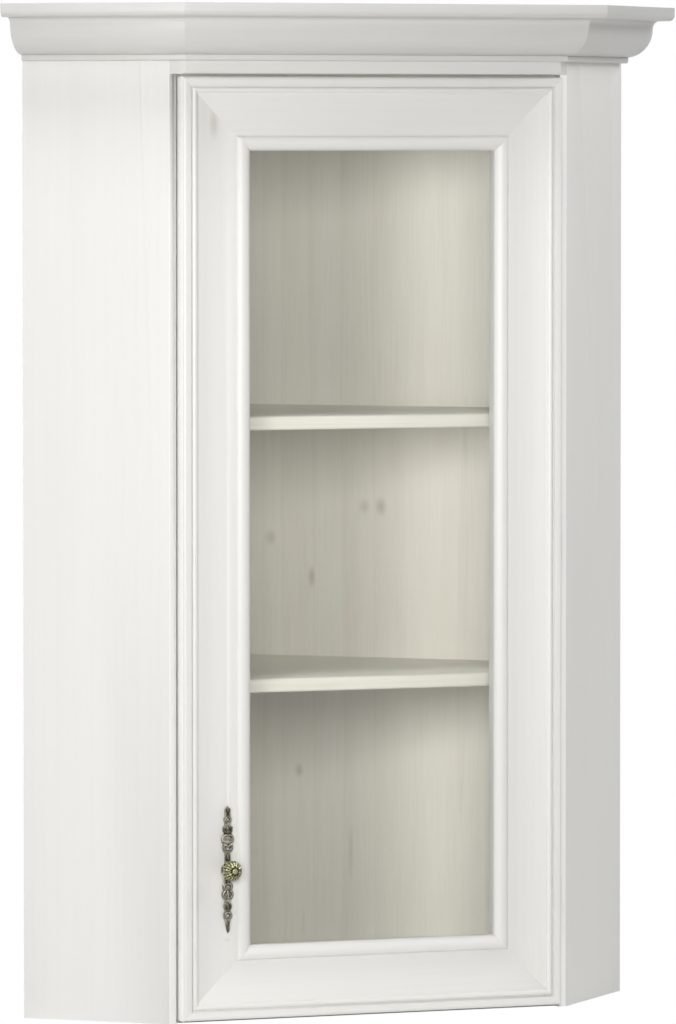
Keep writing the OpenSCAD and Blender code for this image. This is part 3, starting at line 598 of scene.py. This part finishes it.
# A pointed leaf with a pressed vein, from a ball that is drawn out and flattened
def leaf(u, v, width, length, lean):
    height = handlePlate["leafHeight"]
    middle = onPlate(u, v)
    deselectAll()
    bpy.ops.mesh.primitive_uv_sphere_add(segments=handlePlate["leafSegments"],
                                         ring_count=handlePlate["leafRings"], radius=1, location=middle)
    piece = bpy.context.object
    bpy.ops.object.mode_set(mode="EDIT")
    bpy.ops.transform.resize(value=(width / 2 * mm, height * mm, length / 2 * mm), center_override=middle)
    for fromTip in handlePlate["pointFrom"]:
        pickFaces(piece, lambda at: at.z > onPlate(0, v + length * (0.5 - fromTip)).z)
        bpy.ops.transform.resize(value=(handlePlate["pointWidth"], 1, 1), center_override=middle)
    halfVein = width * handlePlate["veinHalfWidth"] * mm
    veinFront = onPlate(u, v, handlePlate["veinOut"]).y
    pickFaces(piece, lambda at: abs(at.x - middle.x) < halfVein and at.y < veinFront)
    bpy.ops.transform.translate(value=(0, height * handlePlate["veinDepth"] * mm, 0))
    bpy.ops.mesh.select_all(action="SELECT")
    # the leaf leans about a point a third of its length below its middle
    bpy.ops.transform.rotate(value=math.radians(lean), orient_axis="Y",
                             center_override=onPlate(u, v - length / 3))
    bpy.ops.object.mode_set(mode="OBJECT")
    return piece


# Joins the parts to the first one, whose object is at the origin
def joinTo(main, parts):
    deselectAll()
    for part in parts:
        part.select_set(True)
    main.select_set(True)
    bpy.context.view_layer.objects.active = main
    bpy.ops.object.join()
    return main


# Turns every face of the active piece outwards and smooths the casting
def smoothCasting():
    bpy.ops.object.mode_set(mode="EDIT")
    bpy.ops.mesh.select_all(action="SELECT")
    bpy.ops.mesh.normals_make_consistent(inside=False)
    bpy.ops.object.mode_set(mode="OBJECT")
    bpy.ops.object.shade_smooth_by_angle(angle=casting["smoothAngle"])


plate = copyOfNode("handle_plate", "handlePlateCast")
easeEdges(plate, "easedRim", **handlePlate["rim"])
ornaments = [scroll(*values) for values in handlePlate["singleScrolls"]]
for u, v, radius, start, turn, bar, shrink in handlePlate["pairedScrolls"]:
    ornaments.append(scroll(u, v, radius, start, turn, bar, shrink))
    ornaments.append(scroll(-u, v, radius, 180 - start, -turn, bar, shrink))
ornaments += [leaf(*values) for values in handlePlate["leaves"]]
rosette = handlePlate["rosette"]
petal = leaf(0, rosette["reach"], rosette["width"], rosette["length"], 0)
for turn in range(1, rosette["petals"]):
    another = bpy.data.objects.new("petal", petal.data.copy())
    bpy.context.collection.objects.link(another)
    another.matrix_world = petal.matrix_world
    selectOnly(another)
    bpy.ops.object.mode_set(mode="EDIT")
    bpy.ops.mesh.select_all(action="SELECT")
    bpy.ops.transform.rotate(value=2 * math.pi * turn / rosette["petals"], orient_axis="Y",
                             center_override=onPlate(0, 0))
    bpy.ops.object.mode_set(mode="OBJECT")
    ornaments.append(another)
plate = joinTo(plate, ornaments + [petal])
smoothCasting()
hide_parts("handle_plate")
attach(plate, "door")
useMaterial(plate, slotMaterials["antique_brass"])

print("knob")
# A turned foot and neck carry the head: a ball chased with two tiers of leaves round a small boss
knobCast = {
    # foot: (radius, distance out from the plate's face)
    "foot": [(6.2, 0.0), (6.2, 1.2), (5.4, 2.2), (4.0, 3.2), (3.7, 5.5), (4.6, 8.0), (7.4, 9.6)],
    "footSides": 40,
    "headRadius": 10.7,
    "headOut": 13.4,
    "headSegments": 90,
    "headRings": 45,
    "flatten": 0.86,
    # tiers: [leaves, tip angle, base angle, phase]
    "tiers": [[9, 52, 112, 0.0], [9, 17, 66, 0.5]],
    # levels: (share of the leaf's width, rise), each on top of the one before
    "levels": [(0.86, 0.65), (0.62, 0.5), (0.4, 0.35)],
    "widest": 0.75,               # below 1, the leaf's widest place moves towards its tip
    "veinWidth": 0.16,
    "veinDepth": 0.9,
    "bossAngle": 14,
    "bossRise": 0.9,
    "softness": 0.5,
    "softPasses": 1,
}
deselectAll()
foot = knobCast["foot"]
bpy.ops.mesh.primitive_circle_add(vertices=knobCast["footSides"], radius=foot[0][0] * mm,
                                  fill_type="NGON", location=onPlate(0, 0, foot[0][1]),
                                  rotation=(math.pi / 2, 0, 0))
knobFoot = bpy.context.object
bpy.ops.object.mode_set(mode="EDIT")
for (radius, out), (nextRadius, nextOut) in zip(foot, foot[1:]):
    bpy.ops.mesh.extrude_region_move(TRANSFORM_OT_translate={"value": (0, (out - nextOut) * mm, 0)})
    bpy.ops.transform.resize(value=(nextRadius / radius, 1, nextRadius / radius),
                             center_override=onPlate(0, 0, nextOut))
bpy.ops.object.mode_set(mode="OBJECT")
bpy.ops.object.transform_apply(location=True, rotation=True, scale=True)

headCentre = onPlate(0, 0, knobCast["headOut"])
deselectAll()
bpy.ops.mesh.primitive_uv_sphere_add(segments=knobCast["headSegments"], ring_count=knobCast["headRings"],
                                     radius=knobCast["headRadius"] * mm, location=headCentre,
                                     rotation=(math.pi / 2, 0, 0))
knobHead = bpy.context.object


# How far round the axis a point on the head is, and how far from the front pole, in degrees
def headAngles(at):
    away = at - headCentre
    return math.degrees(math.atan2(away.z, away.x)), math.degrees(math.acos(-away.y / away.length))


def onLeaf(at, count, tip, base, phase, level):
    around, fromPole = headAngles(at)
    along = (fromPole - tip) / (base - tip)
    if not 0 < along < 1:
        return False
    pitch = 360 / count
    aside = abs((around / pitch + phase + 0.5) % 1 - 0.5) * pitch
    return aside < level * pitch / 2 * math.sin(math.pi * along ** knobCast["widest"])


for tier in reversed(knobCast["tiers"]):
    for level, rise in knobCast["levels"]:
        pickFaces(knobHead, lambda at: onLeaf(at, *tier, level))
        bpy.ops.transform.shrink_fatten(value=rise * mm)
    pickFaces(knobHead, lambda at: onLeaf(at, *tier, knobCast["veinWidth"]))
    bpy.ops.transform.shrink_fatten(value=-knobCast["veinDepth"] * mm)
pickFaces(knobHead, lambda at: headAngles(at)[1] < knobCast["bossAngle"])
bpy.ops.transform.shrink_fatten(value=knobCast["bossRise"] * mm)
bpy.ops.mesh.select_all(action="SELECT")
bpy.ops.transform.resize(value=(1, knobCast["flatten"], 1), center_override=headCentre)
bpy.ops.object.mode_set(mode="OBJECT")
bpy.ops.object.transform_apply(location=True, rotation=True, scale=True)
soften = knobHead.modifiers.new("softCasting", "SMOOTH")
soften.factor = knobCast["softness"]
soften.iterations = knobCast["softPasses"]
bpy.ops.object.modifier_apply(modifier=soften.name)
knob = joinTo(knobHead, [knobFoot])
knob.name = "knobCast"
smoothCasting()
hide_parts("knob")
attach(knob, "door")
useMaterial(knob, darkenedBrass("darkenedCastBrassKnob", brass["knob"]))


# Camera, glass and mirror rays meet plain white, and all the others meet what is given
def whiteWhenSeen(tree, unseen, whiteKind):
    path = addNode(tree, "ShaderNodeLightPath").outputs
    seen = numberMath(tree, "MAXIMUM", path["Is Camera Ray"], path["Is Transmission Ray"])
    seen = numberMath(tree, "MAXIMUM", seen, path["Is Glossy Ray"])
    white = addNode(tree, whiteKind, Color=(1, 1, 1, 1), Strength=1.0)
    return addNode(tree, "ShaderNodeMixShader", s0=seen, s1=unseen, s2=white.outputs[0]).outputs[0]


print("floor and backdrop")
paleFloor = {"size": 12.0, "colour": "#F2F2F0", "roughness": 0.8}
bpy.ops.mesh.primitive_plane_add(size=paleFloor["size"], location=(0, 0, 0))
floor = bpy.context.object
floor.name = "paleFloor"
floorFinish, floorTree, floorShader = newMaterial("paleMattFloor")
floorShader.inputs["Base Color"].default_value = linearColour(paleFloor["colour"])
floorShader.inputs["Roughness"].default_value = paleFloor["roughness"]
relinkSurface(floorTree, whiteWhenSeen(floorTree, floorShader.outputs[0], "ShaderNodeEmission"))
useMaterial(floor, floorFinish)

print("lamps and world")
studio = {"world": 0.02, "worldColour": "#FFFFFF", "aim": (0, -0.2, 0.6)}
world = bpy.data.worlds.new("studio")
bpy.context.scene.world = world
world.use_nodes = True
worldTree = world.node_tree
worldTree.nodes.clear()
worldSoft = addNode(worldTree, "ShaderNodeBackground", Color=linearColour(studio["worldColour"]),
                    Strength=studio["world"])
addNode(worldTree, "ShaderNodeOutputWorld",
        s0=whiteWhenSeen(worldTree, worldSoft.outputs[0], "ShaderNodeBackground"))

# Azimuth turns from the front towards the right, in degrees; sizes and distances are in metres
lamps = {
    "keyLow": {"azimuth": -45, "elevation": 5, "distance": 3.5, "size": (0.7, 0.9), "power": 33},
    "keyHigh": {"azimuth": -45, "elevation": 65, "distance": 3.5, "size": (0.7, 0.9), "power": 39},
    "left": {"azimuth": -68, "elevation": 35, "distance": 3.5, "size": (0.7, 0.9), "power": 9},
    "front": {"azimuth": -20, "elevation": 10, "distance": 4.0, "size": (1.2, 1.0), "power": 63},
    "right": {"azimuth": 80, "elevation": 35, "distance": 4.0, "size": (2.0, 1.5), "power": 69},
}


def addLamp(name, azimuth, elevation, distance, size, power):
    a, e = math.radians(azimuth), math.radians(elevation)
    towards = Vector((math.sin(a) * math.cos(e), -math.cos(a) * math.cos(e), math.sin(e)))
    data = bpy.data.lights.new(name, "AREA")
    data.shape = "RECTANGLE"
    data.size, data.size_y = size
    data.energy = power
    lamp = bpy.data.objects.new(name, data)
    bpy.context.collection.objects.link(lamp)
    lamp.location = Vector(studio["aim"]) + towards * distance
    lamp.rotation_mode = "QUATERNION"
    lamp.rotation_quaternion = towards.to_track_quat("Z", "Y")


for lampName, values in lamps.items():
    addLamp(lampName, **values)

print("camera")
# Measured from the photograph: a long lens a little below the cornice, to the left of the door's middle
view = {"azimuth": -22.843, "tilt": 2.676, "place": (-3.71465, -8.93914, 1.0424), "lens": 281.25,
        "sensor": 36, "farthest": 100}
cameraData = bpy.data.cameras.new("camera")
cameraData.lens = view["lens"]
cameraData.sensor_width = view["sensor"]
cameraData.clip_end = view["farthest"]
camera = bpy.data.objects.new("camera", cameraData)
bpy.context.collection.objects.link(camera)
camera.location = view["place"]
camera.rotation_euler = (math.radians(90 - view["tilt"]), 0, math.radians(view["azimuth"]))
bpy.context.scene.camera = camera

bpy.context.scene.view_settings.view_transform = "Standard"
